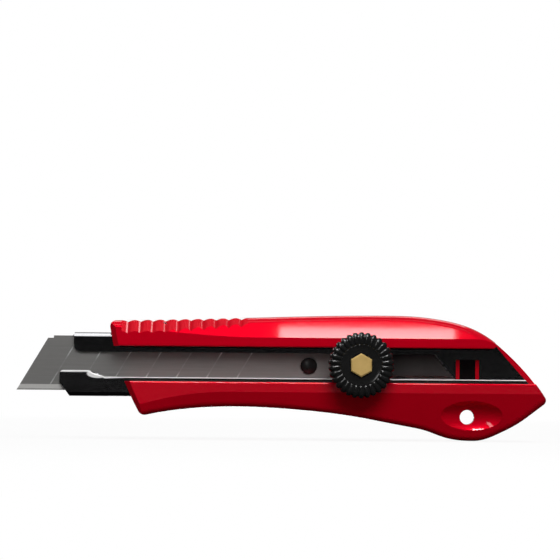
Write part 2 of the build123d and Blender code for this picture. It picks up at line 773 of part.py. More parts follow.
with BuildPart() as badge_plate:
    with BuildSketch(broad(badge_plate_y)):
        with Locations((badge_x, badge_z)):
            SlotOverall(badge_length, badge_height)
    extrude(amount=badge_plate_y - badge_seat_y)
badge_plate.part.label = "badge_plate"

with BuildPart() as shell_screws:
    for x, z in shell_screw_places:
        with BuildSketch(broad(grip_floor_y)):
            with Locations((x, z)):
                Circle(screw_head_radius)
        extrude(amount=screw_head_height)
        with BuildSketch(broad(grip_floor_y - screw_head_height)):
            with Locations((x, z)):
                Circle(screw_radius)
        extrude(amount=screw_length)
        with BuildSketch(broad(grip_floor_y)):
            with Locations((x, z)):
                RegularPolygon(screw_socket, 6)
        extrude(amount=screw_socket_depth, mode=Mode.SUBTRACT)
shell_screws.part.label = "shell_screws"

with BuildPart() as holder_screws:
    for x, z in holder_screw_places:
        with BuildSketch(broad(plate_front)):
            with Locations((x, z)):
                Circle(holder_screw_head_radius)
        extrude(amount=-sheet, taper=countersink_angle)
        with BuildSketch(broad(plate_back)):
            with Locations((x, z)):
                Circle(holder_screw_radius)
        extrude(amount=-holder_screw_length)
holder_screws.part.label = "holder_screws"

with BuildPart() as locating_pins:
    with BuildSketch(broad(plate_back + locating_length / 2)):
        with Locations(*locating_places):
            Circle(locating_radius)
    extrude(amount=locating_length)
locating_pins.part.label = "locating_pins"

# ------------------------------------------------------------------ slider
with BuildPart() as slider_arm:
    arm_rear_x = wheel_x + arm_rear_reach
    with BuildSketch(broad(arm_back)):
        with Locations(((pin_x - arm_front_reach + arm_rear_x) / 2, pin_z)):
            RectangleRounded(arm_rear_x - pin_x + arm_front_reach, arm_height, arm_corner_round)
        with Locations((pin_x, pin_z)):
            Circle(pin_shank_radius, mode=Mode.SUBTRACT)
        with Locations((wheel_x, wheel_z)):
            Circle(stud_radius, mode=Mode.SUBTRACT)
    extrude(amount=arm_thickness)
slider_arm.part.label = "slider_arm"

with BuildPart() as clamp_plate:
    rear_x = tail_end_x + clamp_show
    front_x = blade_end_x + blade_seat_gap
    with BuildSketch(broad(blade_back)):
        Polygon(
            (front_x + (slider_low_z - blade_low_z) * blade_lean, slider_low_z),
            (rear_x + (tail_high_z - slider_low_z) * tail_lean, slider_low_z),
            (rear_x + (tail_high_z - slider_high_z) * tail_lean, slider_high_z),
            (front_x + (slider_high_z - blade_low_z) * blade_lean, slider_high_z),
            align=None,
        )
        with Locations((wheel_x, wheel_z)):
            Circle(stud_radius, mode=Mode.SUBTRACT)
    extrude(amount=blade_thickness)
clamp_plate.part.label = "clamp_plate"

with BuildPart() as slider_tail:
    with BuildSketch(broad(blade_front)):
        Polygon(
            (wheel_x - hub_radius, tail_low_z),
            (tail_end_x + (tail_high_z - tail_low_z) * tail_lean, tail_low_z),
            (tail_end_x, tail_high_z),
            (wheel_x - hub_radius, tail_high_z),
            align=None,
        )
        with Locations((wheel_x, wheel_z)):
            Circle(stud_radius + thread_clearance, mode=Mode.SUBTRACT)
    extrude(amount=tail_thickness)
slider_tail.part.label = "slider_tail"

with BuildPart() as blade_pin:
    head_side_y = blade_front - pin_side_height
    head_top_y = blade_front - pin_height
    dome_height = head_side_y - head_top_y
    dome_radius = (pin_radius**2 + dome_height**2) / (2 * dome_height)
    with BuildSketch(Plane(origin=(pin_x, 0, pin_z), x_dir=(1, 0, 0), z_dir=(0, 0, 1))):
        with BuildLine():
            Polyline(
                (0, head_top_y), (0, arm_back), (pin_shank_radius, arm_back),
                (pin_shank_radius, blade_back), (pin_radius, blade_back), (pin_radius, head_side_y),
            )
            RadiusArc((pin_radius, head_side_y), (0, head_top_y), dome_radius)
        make_face()
    revolve(axis=Axis((pin_x, 0, pin_z), (0, 1, 0)))
blade_pin.part.label = "blade_pin"

with BuildPart() as lock_stud:
    with BuildSketch(broad(stud_start)):
        with Locations((wheel_x, wheel_z)):
            Circle(stud_radius)
    extrude(amount=stud_start - stud_end)
    chamfer(edges().filter_by(GeomType.CIRCLE).sort_by(Axis.Y)[0], length=stud_chamfer)
lock_stud.part.label = "lock_stud"

with BuildPart() as blade:
    length_on_top = blade_height * blade_lean
    with BuildSketch(broad(blade_back)):
        Polygon(
            (blade_tip_x, blade_low_z),
            (blade_end_x, blade_low_z),
            (blade_end_x + length_on_top, blade_high_z),
            (blade_tip_x + length_on_top, blade_high_z),
            align=None,
        )
        with Locations((pin_x, pin_z)):
            Circle(pin_radius + blade_hole_clearance, mode=Mode.SUBTRACT)
    extrude(amount=blade_thickness)
    with BuildSketch(broad(blade_back)):
        with Locations((blade_tip_x + length_on_top, blade_high_z)):
            Rectangle(2 * tip_step, 2 * tip_step_height)
    extrude(amount=blade_thickness, mode=Mode.SUBTRACT)
    # Ground bevel on both faces
    with BuildSketch(along_x(blade_tip_x - overrun)) as bevels:
        for side in (-1, 1):
            Polygon(
                (side * blade_thickness / 2, blade_low_z + bevel_height),
                (side * bevel_edge / 2, blade_low_z),
                (side * bevel_edge / 2, blade_low_z - overrun),
                (side * blade_thickness, blade_low_z - overrun),
                (side * blade_thickness, blade_low_z + bevel_height),
                align=None,
            )
    extrude(amount=blade_length + 2 * overrun, mode=Mode.SUBTRACT)
    # Score lines, parallel to the front edge, on the wheel side
    with BuildSketch(broad(blade_front + score_depth)):
        for i in range(1, score_count + 1):
            score_x = blade_tip_x + i * segment_pitch
            foot = bevel_height * blade_lean
            Polygon(
                (score_x + foot, blade_low_z + bevel_height),
                (score_x + foot + score_width, blade_low_z + bevel_height),
                (score_x + length_on_top + score_width, blade_high_z),
                (score_x + length_on_top, blade_high_z),
                align=None,
            )
    extrude(amount=score_depth, mode=Mode.SUBTRACT)
blade.part.label = "blade"

# -------------------------------------------------------------------- lock
with BuildPart() as thrust_washer:
    with BuildSketch(broad(washer_back)):
        with Locations((wheel_x, wheel_z)):
            Circle(hub_radius)
            Circle(stud_radius + thread_clearance, mode=Mode.SUBTRACT)
    extrude(amount=washer_thickness)
thrust_washer.part.label = "thrust_washer"

with BuildPart() as lock_wheel:
    rim = ridge_centre_radius
    with BuildSketch(Plane(origin=(wheel_x, 0, wheel_z), x_dir=(1, 0, 0), z_dir=(0, 0, 1))):
        with BuildLine():
            Polyline(
                (0, wheel_face + dish_depth), (0, washer_front), (hub_radius, washer_front),
                (hub_radius, wheel_back), (rim - wheel_back_chamfer, wheel_back),
                (rim, wheel_back - wheel_back_chamfer), (rim, wheel_face + wheel_edge_round),
            )
            RadiusArc(
                (rim, wheel_face + wheel_edge_round),
                (rim - wheel_edge_round, wheel_face),
                -wheel_edge_round,
            )
            Polyline(
                (rim - wheel_edge_round, wheel_face), (ridge_inner_radius, wheel_face),
                (ridge_inner_radius - dish_depth, wheel_face + dish_depth), (0, wheel_face + dish_depth),
            )
        make_face()
    revolve(axis=Axis((wheel_x, 0, wheel_z), (0, 1, 0)))
    with BuildSketch(broad(wheel_back)):
        with Locations((wheel_x, wheel_z)):
            with PolarLocations(rim, ridge_count):
                Circle(ridge_radius)
    extrude(amount=wheel_thickness - wheel_edge_round)
    with BuildSketch(broad(hex_face + hex_depth)):
        with Locations((wheel_x, wheel_z)):
            RegularPolygon(hex_across_flats / 2, 6, major_radius=False, rotation=hex_turn)
    extrude(amount=hex_depth, mode=Mode.SUBTRACT)
    bore(wheel_x, wheel_z, stud_radius + thread_clearance, wheel_back, washer_front)
lock_wheel.part.label = "lock_wheel"

with BuildPart() as hex_insert:
    with BuildSketch(broad(hex_face + hex_depth)):
        with Locations((wheel_x, wheel_z)):
            RegularPolygon(hex_across_flats / 2, 6, major_radius=False, rotation=hex_turn)
    extrude(amount=hex_depth)
    chamfer(faces().sort_by(Axis.Y)[0].edges(), length=hex_chamfer)
    bore(wheel_x, wheel_z, stud_radius + thread_clearance, stud_end - stud_end_gap, hex_face + hex_depth)
hex_insert.part.label = "hex_insert"

# ------------------------------------------------------------------- files
os.makedirs("parts", exist_ok=True)
export_step(back_shell.part, "parts/back_shell.step")
export_step(upper_rail.part, "parts/upper_rail.step")
export_step(lower_rail.part, "parts/lower_rail.step")
export_step(upper_liner.part, "parts/upper_liner.step")
export_step(lower_liner.part, "parts/lower_liner.step")
export_step(blade_holder.part, "parts/blade_holder.step")
export_step(grip_pad.part, "parts/grip_pad.step")
export_step(badge_rim_ring.part, "parts/badge_rim.step")
export_step(badge_plate.part, "parts/badge_plate.step")
export_step(shell_screws.part, "parts/shell_screws.step")
export_step(holder_screws.part, "parts/holder_screws.step")
export_step(locating_pins.part, "parts/locating_pins.step")
export_step(slider_arm.part, "parts/slider_arm.step")
export_step(clamp_plate.part, "parts/clamp_plate.step")
export_step(slider_tail.part, "parts/slider_tail.step")
export_step(blade_pin.part, "parts/blade_pin.step")
export_step(lock_stud.part, "parts/lock_stud.step")
export_step(blade.part, "parts/blade.step")
export_step(thrust_washer.part, "parts/thrust_washer.step")
export_step(lock_wheel.part, "parts/lock_wheel.step")
export_step(hex_insert.part, "parts/hex_insert.step")
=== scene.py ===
import json
import math

import bmesh
import bpy
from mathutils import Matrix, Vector
from mathutils.bvhtree import BVHTree
from mathutils.geometry import delaunay_2d_cdt
from mathutils.kdtree import KDTree

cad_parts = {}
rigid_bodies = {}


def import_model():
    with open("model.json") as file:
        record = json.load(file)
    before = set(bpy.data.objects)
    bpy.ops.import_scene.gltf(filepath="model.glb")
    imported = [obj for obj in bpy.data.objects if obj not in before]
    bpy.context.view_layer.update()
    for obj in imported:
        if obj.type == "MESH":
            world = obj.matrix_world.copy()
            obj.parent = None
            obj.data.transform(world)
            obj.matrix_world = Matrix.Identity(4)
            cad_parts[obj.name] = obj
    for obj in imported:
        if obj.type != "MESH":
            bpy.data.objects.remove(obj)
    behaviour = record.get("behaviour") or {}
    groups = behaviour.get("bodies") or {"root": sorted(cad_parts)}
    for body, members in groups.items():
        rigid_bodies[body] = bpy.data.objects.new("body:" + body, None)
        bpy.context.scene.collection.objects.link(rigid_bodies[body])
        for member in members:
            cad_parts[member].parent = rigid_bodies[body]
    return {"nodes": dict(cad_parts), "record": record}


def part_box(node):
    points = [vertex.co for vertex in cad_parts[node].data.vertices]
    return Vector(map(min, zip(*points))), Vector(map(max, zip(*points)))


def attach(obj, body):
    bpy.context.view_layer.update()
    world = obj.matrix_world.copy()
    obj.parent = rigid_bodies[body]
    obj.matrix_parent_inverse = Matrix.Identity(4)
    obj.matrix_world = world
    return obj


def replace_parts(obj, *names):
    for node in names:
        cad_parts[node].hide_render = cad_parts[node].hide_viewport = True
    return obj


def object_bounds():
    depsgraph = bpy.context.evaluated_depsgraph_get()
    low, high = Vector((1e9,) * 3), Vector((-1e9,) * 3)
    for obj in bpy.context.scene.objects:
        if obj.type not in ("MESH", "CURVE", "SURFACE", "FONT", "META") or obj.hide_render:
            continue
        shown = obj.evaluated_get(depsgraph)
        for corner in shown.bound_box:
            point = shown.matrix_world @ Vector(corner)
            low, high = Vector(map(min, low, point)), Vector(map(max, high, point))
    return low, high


for leftover in list(bpy.data.objects):
    bpy.data.objects.remove(leftover, do_unlink=True)

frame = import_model()
bpy.context.view_layer.update()
scene = bpy.context.scene
MM = 0.001

# Places on the CAD pieces that the materials follow
HOLLOW_FRONT, HOLLOW_REAR = -106 * MM, 7 * MM       # the hollow behind the blade holder
HOLLOW_FLOOR = 6 * MM
HOLLOW_WALL = 2.5 * MM                              # from the holder's edges inwards
LIP_RAISED, LIP_LEVEL = 14.5 * MM, 12.4 * MM        # edge of the lower lip, ahead of its slope and behind
LIP_SLOPE_FRONT, LIP_SLOPE_REAR = -124.8 * MM, -119.6 * MM
LIP_FACE = -0.85 * MM                               # front face of the lips
LIPS_PART = 15.5 * MM                               # height between the two lips
SCOOP_X, SCOOP_Z = -121.7 * MM, 13.45 * MM          # middle of the scoop in the lower lip
SCOOP_LONG, SCOOP_HIGH = 4.0 * MM, 1.6 * MM         # half its length and height
SEGMENT = 10 * MM                                   # one snap-off segment of the blade
SCORE_SLANT = 59                                    # degrees between a score line and the cutting edge
BEVEL = 1.9 * MM                                    # height of the ground bevel


# ---------------------------------------------------------------- materials
class Tree:
    """The node tree of a material or a world, with short ways to add and link nodes."""

    def __init__(self, owner, coordinates="Object"):
        owner.use_nodes = True
        self.tree = owner.node_tree
        self.tree.nodes.clear()
        self.place = self.tree.nodes.new("ShaderNodeTexCoord").outputs[coordinates]

    def link(self, source, target):
        self.tree.links.new(source, target)

    def fill(self, socket, value):
        """Links a node's output to a socket, or sets the socket to a constant."""
        if isinstance(value, bpy.types.NodeSocket):
            self.link(value, socket)
        else:
            socket.default_value = value

    def stretched(self, x, y, z):
        """The object's place, scaled along each axis, for grain that runs one way."""
        node = self.tree.nodes.new("ShaderNodeMapping")
        node.inputs["Scale"].default_value = (x, y, z)
        self.link(self.place, node.inputs["Vector"])
        return node.outputs[0]

    def noise(self, scale, detail=3.0, rough=0.5, at=None):
        node = self.tree.nodes.new("ShaderNodeTexNoise")
        node.inputs["Scale"].default_value = scale
        node.inputs["Detail"].default_value = detail
        node.inputs["Roughness"].default_value = rough
        self.link(at or self.place, node.inputs["Vector"])
        return node.outputs["Fac"]

    def cells(self, scale, output="Distance"):
        node = self.tree.nodes.new("ShaderNodeTexVoronoi")
        node.inputs["Scale"].default_value = scale
        self.link(self.place, node.inputs["Vector"])
        return node.outputs[output]

    def span(self, value, low, high, to_low=0.0, to_high=1.0):
        node = self.tree.nodes.new("ShaderNodeMapRange")
        self.link(value, node.inputs["Value"])
        for socket, number in zip(("From Min", "From Max", "To Min", "To Max"), (low, high, to_low, to_high)):
            node.inputs[socket].default_value = number
        return node.outputs[0]

    def math(self, operation, first, second):
        node = self.tree.nodes.new("ShaderNodeMath")
        node.operation = operation
        self.fill(node.inputs[0], first)
        self.fill(node.inputs[1], second)
        return node.outputs[0]

    def blend(self, factor, dark, light):
        node = self.tree.nodes.new("ShaderNodeMix")
        node.data_type = "RGBA"
        self.link(factor, node.inputs[0])
        for socket, colour in ((node.inputs[6], dark), (node.inputs[7], light)):
            self.fill(socket, (*colour, 1) if isinstance(colour, tuple) else colour)
        return node.outputs[2]

    def axis(self, letter):
        node = self.tree.nodes.new("ShaderNodeSeparateXYZ")
        self.link(self.place, node.inputs[0])
        return node.outputs[letter]

    def bump(self, height, strength, distance, onto=None):
        node = self.tree.nodes.new("ShaderNodeBump")
        node.inputs["Strength"].default_value = strength
        node.inputs["Distance"].default_value = distance
        self.link(height, node.inputs["Height"])
        if onto:
            self.link(onto, node.inputs["Normal"])
        return node.outputs[0]

    def rays(self, kind):
        """1 for rays of one kind, such as Is Camera Ray, else 0."""
        return self.tree.nodes.new("ShaderNodeLightPath").outputs[kind]

    def mirrored_or_through(self):
        """1 for the rays of gloss and glass, else 0."""
        return self.math("MAXIMUM", self.rays("Is Glossy Ray"), self.rays("Is Transmission Ray"))

    def shader_node(self, kind, **values):
        node = self.tree.nodes.new(kind)
        for name, value in values.items():
            self.fill(node.inputs[name], value)
        return node.outputs[0]

    def mixed(self, share, first, second):
        node = self.tree.nodes.new("ShaderNodeMixShader")
        for socket, source in zip(node.inputs, (share, first, second)):
            self.link(source, socket)
        return node.outputs[0]

    def out(self, shader, kind="ShaderNodeOutputMaterial"):
        self.link(shader, self.tree.nodes.new(kind).inputs[0])


class Nodes(Tree):
    """A new material with one Principled shader."""

    def __init__(self, name):
        self.material = bpy.data.materials.new(name)
        super().__init__(self.material)
        self.shader = self.tree.nodes.new("ShaderNodeBsdfPrincipled")
        self.out(self.shader.outputs[0])

    def set(self, **values):
        for name, value in values.items():
            self.fill(self.shader.inputs[name.replace("_", " ")], value)


def hollow_painted_shade(n):
    """1 in the hollow behind the blade holder, where the red is painted near black as shade, 0 on the rest of
    the housing.
    """
    low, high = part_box("blade_holder")
    middle = (low.z + high.z) / 2
    half = (high.z - low.z) / 2 - HOLLOW_WALL
    off = n.math("ABSOLUTE", n.math("SUBTRACT", n.axis("Z"), middle), 0.0)
    deep = n.span(n.axis("Y"), high.y + 0.05 * MM, high.y + 0.25 * MM)
    shallow = n.span(n.axis("Y"), HOLLOW_FLOOR + 0.3 * MM, HOLLOW_FLOOR + 0.2 * MM)
    between = n.span(off, half + 0.5 * MM, half + 0.3 * MM)
    behind = n.span(n.axis("X"), HOLLOW_FRONT - 1.5 * MM, HOLLOW_FRONT - 1.0 * MM)
    ahead = n.span(n.axis("X"), HOLLOW_REAR + 1.0 * MM, HOLLOW_REAR + 0.5 * MM)
    along = n.math("MULTIPLY", behind, ahead)
    return n.math("MULTIPLY", n.math("MULTIPLY", deep, shallow), n.math("MULTIPLY", between, along))


def red_paint():
    """Deep metallic red: fine flakes under a glossy film with a trace of orange peel, and painted shade in
    the hollow behind the blade holder.
    """
    n = Nodes("red_paint")
    flakes = n.cells(9000, output="Color")
    flake = n.tree.nodes.new("ShaderNodeSeparateColor")
    n.link(flakes, flake.inputs[0])
    cloud = n.noise(90, 2)
    tone = n.math("ADD", n.math("MULTIPLY", flake.outputs[0], 0.55), n.math("MULTIPLY", cloud, 0.45))
    paint = n.blend(tone, (0.70, 0.0, 0.012), (0.82, 0.0, 0.018))
    n.set(
        # the hollow behind the blade holder is painted near black: painted shade
        Base_Color=n.blend(hollow_painted_shade(n), paint, (0.012, 0.003, 0.003)),
        Metallic=0.30,
        Roughness=n.span(n.noise(1400, 2), 0.3, 0.7, 0.36, 0.42),
        Specular_IOR_Level=0.0,
        Coat_Weight=1.0,
        Coat_Roughness=0.06,
        Coat_IOR=1.5,
        Normal=n.bump(n.noise(700, 2), 0.03, 0.0001, n.bump(flake.outputs[1], 0.04, 0.00001)),
    )
    return n.material


def moulded(name, colour, roughness):
    """Moulded plastic with a fine spark-eroded texture."""
    n = Nodes(name)
    texture = n.noise(2600, 4, 0.6)
    lighter = tuple(c * 1.5 + 0.004 for c in colour)
    n.set(
        Base_Color=n.blend(n.noise(260, 3), colour, lighter),
        Roughness=n.span(texture, 0.3, 0.7, roughness - 0.06, roughness + 0.06),
        Specular_IOR_Level=0.4,
        Normal=n.bump(texture, 0.12, 0.00008),
    )
    return n.material


def dark_chrome():
    """Black-plated, polished steel strip; its lower lip has a painted highlight, near white, along the edge
    and in the scoop.
    """
    n = Nodes("dark_chrome")
    lines = n.noise(60, 4, 0.6, n.stretched(0.6, 60, 60))
    across, up = n.axis("X"), n.axis("Z")
    # a band that follows the lip's edge down its slope, wider at the front than at the rear
    edge = n.span(across, LIP_SLOPE_FRONT, LIP_SLOPE_REAR, LIP_RAISED, LIP_LEVEL)
    wide = n.span(across, -120 * MM, -112 * MM, 0.62 * MM, 0.33 * MM)
    below = n.math("SUBTRACT", edge, up)
    band = n.span(n.math("SUBTRACT", below, wide), 0.08 * MM, -0.08 * MM)
    # an oval over the scoop
    along = n.math("DIVIDE", n.math("SUBTRACT", across, SCOOP_X), SCOOP_LONG)
    high = n.math("DIVIDE", n.math("SUBTRACT", up, SCOOP_Z), SCOOP_HIGH)
    reach = n.math("ADD", n.math("MULTIPLY", along, along), n.math("MULTIPLY", high, high))
    scoop = n.span(reach, 1.05, 0.8)
    in_front = n.span(n.axis("Y"), LIP_FACE + 0.05 * MM, LIP_FACE)
    low_down = n.span(up, LIPS_PART + 0.1 * MM, LIPS_PART)
    lip = n.math("MULTIPLY", in_front, low_down)
    # the lip's edge band and the scoop together: a painted highlight, near white, less metallic and rougher
    painted_highlight = n.math("MULTIPLY", n.math("MAXIMUM", band, scoop), lip)
    plating = n.blend(lines, (0.16, 0.16, 0.165), (0.22, 0.22, 0.225))
    n.set(
        Base_Color=n.blend(painted_highlight, plating, (0.96, 0.96, 0.95)),
        Metallic=n.span(painted_highlight, 0.0, 1.0, 1.0, 0.1),
        Roughness=n.math("ADD", n.span(lines, 0.25, 0.75, 0.07, 0.13), n.math("MULTIPLY", painted_highlight, 0.2)),
        Normal=n.bump(lines, 0.05, 0.00003),
    )
    return n.material


def steel(name, dark, light, roughness):
    """Plain steel with brushing lines along the knife."""
    n = Nodes(name)
    lines = n.noise(70, 4, 0.65, n.stretched(0.6, 60, 60))
    n.set(
        Base_Color=n.blend(lines, dark, light),
        Metallic=1.0,
        Roughness=n.span(lines, 0.25, 0.75, roughness - 0.06, roughness + 0.06),
        Normal=n.bump(lines, 0.06, 0.00003),
    )
    return n.material


def blade_steel():
    """Dark hardened blade steel: slanted score lines with a painted highlight, and a bright ground bevel
    below.
    """
    n = Nodes("blade_steel")
    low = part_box("blade")[0]
    across, up = n.axis("X"), n.axis("Z")
    lean = 1 / math.tan(math.radians(SCORE_SLANT))
    # place along the row of segments, a whole number of segments at each score line
    sideways = n.math("MULTIPLY", n.math("SUBTRACT", up, low.z), lean)
    along = n.math("SUBTRACT", n.math("SUBTRACT", across, low.x), sideways)
    line = n.span(n.math("PINGPONG", along, SEGMENT / 2), 0.30 * MM, 0.14 * MM)
    started = n.span(along, 0.5 * SEGMENT, 0.6 * SEGMENT)
    ended = n.span(along, 7.5 * SEGMENT, 7.4 * SEGMENT)
    # the painted highlight on the lines is brightest near the spine, faint in the middle and half bright near
    # the bevel, and patchy along them
    painted_highlight = n.span(n.noise(420, 3), 0.35, 0.65, 0.25, 1.0)
    near_spine = n.span(up, low.z + 10 * MM, low.z + 13 * MM, 0.12, 1.0)
    near_bevel = n.span(up, low.z + 6.2 * MM, low.z + 5 * MM, 0.0, 0.5)
    highlight_by_height = n.math("ADD", near_spine, near_bevel)
    row = n.math("MULTIPLY", n.math("MULTIPLY", started, ended), highlight_by_height)
    line = n.math("MULTIPLY", n.math("MULTIPLY", line, painted_highlight), row)
    bevel = n.span(up, low.z + BEVEL + 0.08 * MM, low.z + BEVEL - 0.08 * MM)
    edge = n.span(up, low.z + 0.55 * MM, low.z + 0.35 * MM)
    grain = n.noise(50, 5, 0.7, n.stretched(1, 1, 40))
    grinding = n.noise(60, 3, 0.6, n.stretched(60, 1, 2))
    body = n.blend(grain, (0.20, 0.197, 0.192), (0.29, 0.285, 0.277))
    # the score lines are painted near white over the CAD grooves: a painted highlight
    body = n.blend(line, body, (0.75, 0.75, 0.76))
    ground = n.blend(grinding, (0.80, 0.79, 0.77), (0.96, 0.95, 0.92))
    ground = n.blend(edge, ground, (0.5, 0.49, 0.47))
    n.set(
        Base_Color=n.blend(bevel, body, ground),
        Metallic=0.35,
        Specular_IOR_Level=0.3,
        Roughness=n.math("ADD", n.span(grain, 0.2, 0.8, 0.34, 0.44), n.math("MULTIPLY", bevel, -0.06)),
        Normal=n.bump(grain, 0.05, 0.00003),
    )
    return n.material


def grip_rubber():
    """Soft black elastomer with a fine leather-like grain and a little sheen."""
    n = Nodes("grip_rubber")
    grain = n.cells(2300)
    fine = n.noise(5200, 3, 0.6)
    wear = n.noise(120, 4, 0.6)
    n.set(
        Base_Color=n.blend(wear, (0.006, 0.006, 0.0063), (0.012, 0.012, 0.0123)),
        Roughness=n.span(fine, 0.3, 0.7, 0.50, 0.60),
        Specular_IOR_Level=0.35,
        Sheen_Weight=0.04,
        Sheen_Roughness=0.4,
        Normal=n.bump(fine, 0.10, 0.00005, n.bump(grain, 0.10, 0.00008)),
    )
    return n.material


def gloss_black(name, roughness, specular):
    """Glossy black moulding."""
    n = Nodes(name)
    ripple = n.noise(900, 2)
    n.set(
        Base_Color=n.blend(n.noise(300, 2), (0.009, 0.009, 0.009), (0.016, 0.016, 0.016)),
        Roughness=n.span(ripple, 0.3, 0.7, roughness - 0.03, roughness + 0.05),
        Specular_IOR_Level=specular,
        Normal=n.bump(ripple, 0.04, 0.0001),
    )
    return n.material


def brass():
    """Turned brass, dull on the flats."""
    n = Nodes("hex_brass")
    stain = n.noise(500, 4, 0.6)
    n.set(
        Base_Color=n.blend(stain, (0.74, 0.49, 0.16), (0.88, 0.61, 0.22)),
        Metallic=0.25,
        Roughness=n.span(stain, 0.3, 0.7, 0.34, 0.46),
        Normal=n.bump(n.noise(2500, 2), 0.08, 0.00004),
    )
    return n.material


red = red_paint()
materials = {
    "red_paint": red,
    "badge_red": red,
    "liner_black": moulded("liner_black", (0.006, 0.006, 0.006), 0.5),
    "dark_chrome": dark_chrome(),
    "grip_rubber": grip_rubber(),
    "rim_black": moulded("rim_black", (0.006, 0.006, 0.006), 0.4),
    "screw_steel": steel("screw_steel", (0.35, 0.35, 0.36), (0.5, 0.5, 0.51), 0.32),
    "slider_steel": steel("slider_steel", (0.42, 0.42, 0.42), (0.6, 0.6, 0.6), 0.28),
    "tail_black": moulded("tail_black", (0.018, 0.018, 0.018), 0.5),
    "pin_black": gloss_black("pin_black", 0.30, 0.25),
    "blade_steel": blade_steel(),
    "wheel_black": gloss_black("wheel_black", 0.15, 0.6),
    "hex_brass": brass(),
}
slots = {part["node"]: part["material_slot"] for part in frame["record"]["subparts"]}
for node, thing in frame["nodes"].items():
    for place in thing.material_slots:
        place.link = "OBJECT"
        place.material = materials[slots[node]]


# ------------------------------------------------------------------- pieces
def made(name, mesh_maker, slot, body):
    """A new piece from a bmesh, with its material, on its body."""
    mesh = bpy.data.meshes.new(name)
    piece = bpy.data.objects.new(name, mesh)
    scene.collection.objects.link(piece)
    work = bmesh.new()
    mesh_maker(work)
    bmesh.ops.recalc_face_normals(work, faces=work.faces)
    for face in work.faces:
        face.smooth = True
    work.to_mesh(mesh)
    work.free()
    mesh.set_sharp_from_angle(angle=math.radians(38))
    mesh.materials.append(materials[slot])
    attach(piece, body)
    return piece


# The lock wheel: thirty round ribs run over its rim and in across its face
wheel_low, wheel_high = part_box("lock_wheel")
insert_low, insert_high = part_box("hex_insert")
centre = (wheel_low + wheel_high) / 2
WHEEL_R = (wheel_high.x - wheel_low.x) / 2
FACE = wheel_low.y
BACK = FACE + 6.6 * MM
HUB_BACK = wheel_high.y
INSERT_BACK = insert_high.y
HEX_IN = (insert_high.x - insert_low.x) / 2
RIBS = 30
PER_RIB = 14                                    # points round the wheel for each rib
RIB_SHARE = 0.8                                 # a rib's width, as a share of its pitch
RIB_OUT, RIB_UP = 0.62 * MM, 0.42 * MM          # a rib's height over the rim and over the face
HUB_R = 5 * MM
BORE_R = 2.05 * MM                              # clears the stud
BACK_EDGE = 0.35 * MM                           # chamfer at the back of the rim
FRONT_EDGE = 1.7 * MM                           # where the rounding to the face starts, behind the face
ROUND_IN, ROUND_UP = 1.67 * MM, 1.25 * MM       # how far the rounding goes, inwards and forwards
ROUND_STEPS = 8


def wheel(work):
    """The wheel as rings of points, from the hub's back round the rim, over the face and into the hexagon."""
    # each station: radius and place of the valley, then how far a rib stands outwards and upwards there
    rim = WHEEL_R - RIB_OUT
    rim_back, rim_front = BACK - BACK_EDGE, FACE + FRONT_EDGE
    stations = [
        (HUB_R, HUB_BACK, 0, 0.0),
        (HUB_R, BACK, 0, 0.0),
        (rim - 0.82 * MM, BACK, 0, 0.0),
        (rim - 0.37 * MM, BACK, 0.4, 0.0),
        (rim, rim_back, 1, 0.0),
    ]
    for k in range(1, ROUND_STEPS + 1):
        stations.append((rim, rim_back + (rim_front - rim_back) * k / ROUND_STEPS, 1, 0.0))
    for k in range(1, ROUND_STEPS + 1):
        turn = math.radians(90 * k / ROUND_STEPS)
        r = rim - ROUND_IN * (1 - math.cos(turn))
        y = rim_front - ROUND_UP * math.sin(turn)
        stations.append((r, y, math.cos(turn), math.sin(turn)))
    # the ribs' inner ends on the face, then the shallow dish round the insert
    for r, up in ((8.0, 1), (7.6, 1), (7.2, 0.9), (6.95, 0.6), (6.8, 0.2)):
        stations.append((r * MM, FACE + 0.45 * MM, 0, up))
    for r, y in ((6.72, 0.38), (6.6, 0.36), (6.45, 0.4), (6.0, 0.5), (5.2, 0.56), (4.5, 0.58)):
        stations.append((r * MM, FACE + y * MM, 0, 0))
    around = RIBS * PER_RIB
    rings = []
    for r, y, out, up in stations:
        ring = []
        for i in range(around):
            turn = 2 * math.pi * i / around
            t = 2 * ((i / PER_RIB) % 1) - 1
            bulge = math.sqrt(max(0.0, 1 - (t / RIB_SHARE) ** 2))
            rr = r + RIB_OUT * bulge * out
            yy = y - RIB_UP * bulge * up
            ring.append(work.verts.new((centre.x + rr * math.cos(turn), yy, centre.z + rr * math.sin(turn))))
        rings.append(ring)
    for y, bore in ((FACE + 0.58 * MM, False), (INSERT_BACK, False), (INSERT_BACK, True), (HUB_BACK, True)):
        ring = []
        for i in range(around):
            turn = 2 * math.pi * i / around
            side = math.radians((math.degrees(turn) % 60) - 30)
            r = BORE_R if bore else HEX_IN / math.cos(side)
            ring.append(work.verts.new((centre.x + r * math.cos(turn), y, centre.z + r * math.sin(turn))))
        rings.append(ring)
    for near, far in zip(rings, rings[1:] + rings[:1]):
        for i in range(around):
            j = (i + 1) % around
            work.faces.new((near[i], near[j], far[j], far[i]))


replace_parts(made("wheel_ribbed", wheel, "wheel_black", "wheel"), "lock_wheel")

# The grip pad: its crown and edges are read from the CAD pad, with rows of dimples pressed in
pad = frame["nodes"]["grip_pad"]
pad_low, pad_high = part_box("grip_pad")
rim_low, rim_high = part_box("badge_rim")
DIMPLE_PITCH = 4.16 * MM
DIMPLE_ROWS = (27.0, 23.6, 19.9, 16.4, 12.6, 8.7, 5.2)      # heights of the rows, in mm
DIMPLE_START = -12.7 * MM
DIMPLE_DEPTH = 0.62                                         # in mm, as are the rings below
